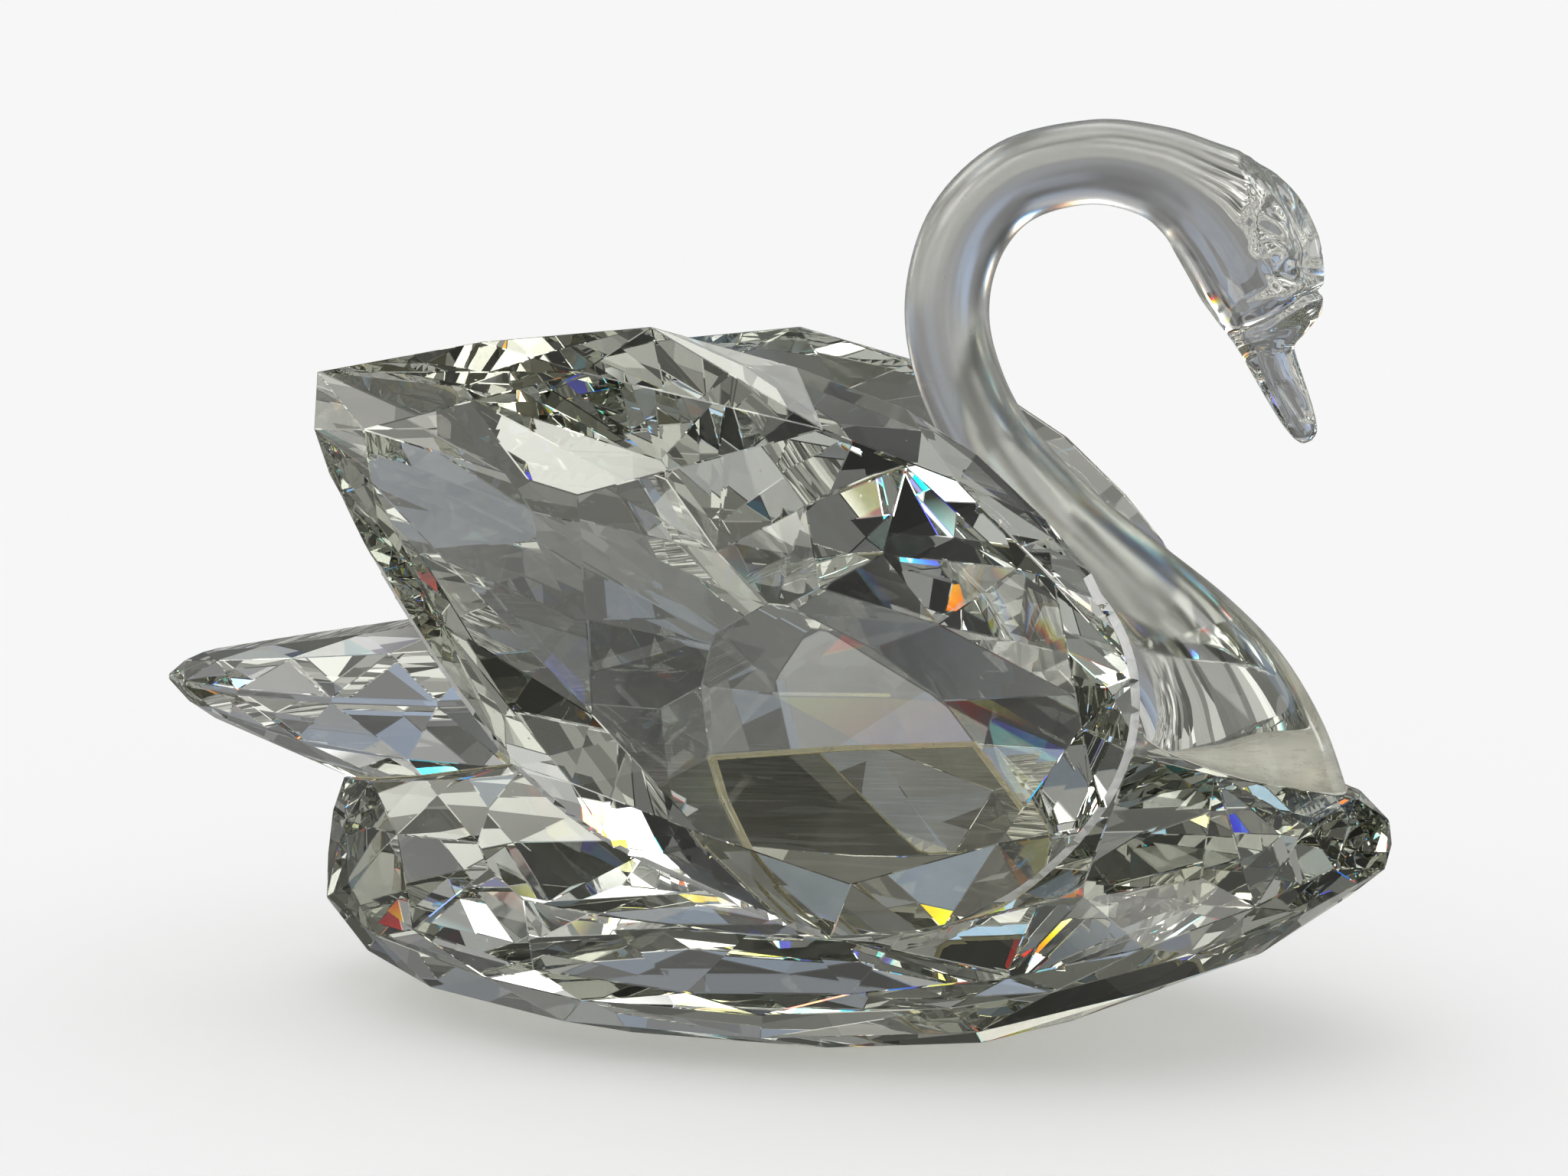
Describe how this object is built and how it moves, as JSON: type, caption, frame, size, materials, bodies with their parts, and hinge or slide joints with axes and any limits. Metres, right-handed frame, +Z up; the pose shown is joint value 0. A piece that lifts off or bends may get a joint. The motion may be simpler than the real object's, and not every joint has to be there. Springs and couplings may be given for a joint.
{
  "type": "crystal swan figurine",
  "caption": "Clear cut-crystal swan figurine with a faceted boat-shaped body, leaf-shaped faceted wings, a faceted tail and a smooth curved neck and head, to stand on a flat surface.",
  "frame": {"origin": "centre of the overall bounding box at the bottom, on the plane of the ground foot", "axes": "+X the way the swan faces, along its length; +Y to its left, square to its middle plane; +Z up"},
  "size_m": [0.0916, 0.046, 0.063],
  "materials": {
    "cut_crystal": "polished facets, clear lead crystal",
    "drawn_crystal": "smooth fire-polished, clear lead crystal",
    "clear_adhesive": "clear optical adhesive, faintly yellow",
    "pale_adhesive": "milky adhesive on a finely ground face"
  },
  "bodies": {
    "root": {"base": "cut_crystal", "right_wing": "cut_crystal", "left_wing": "cut_crystal", "tail": "cut_crystal", "neck_and_head": "drawn_crystal", "bond_base_right_wing": "clear_adhesive", "bond_base_left_wing": "clear_adhesive", "bond_base_tail": "clear_adhesive", "bond_base_neck": "pale_adhesive"}
  },
  "joints": []
}
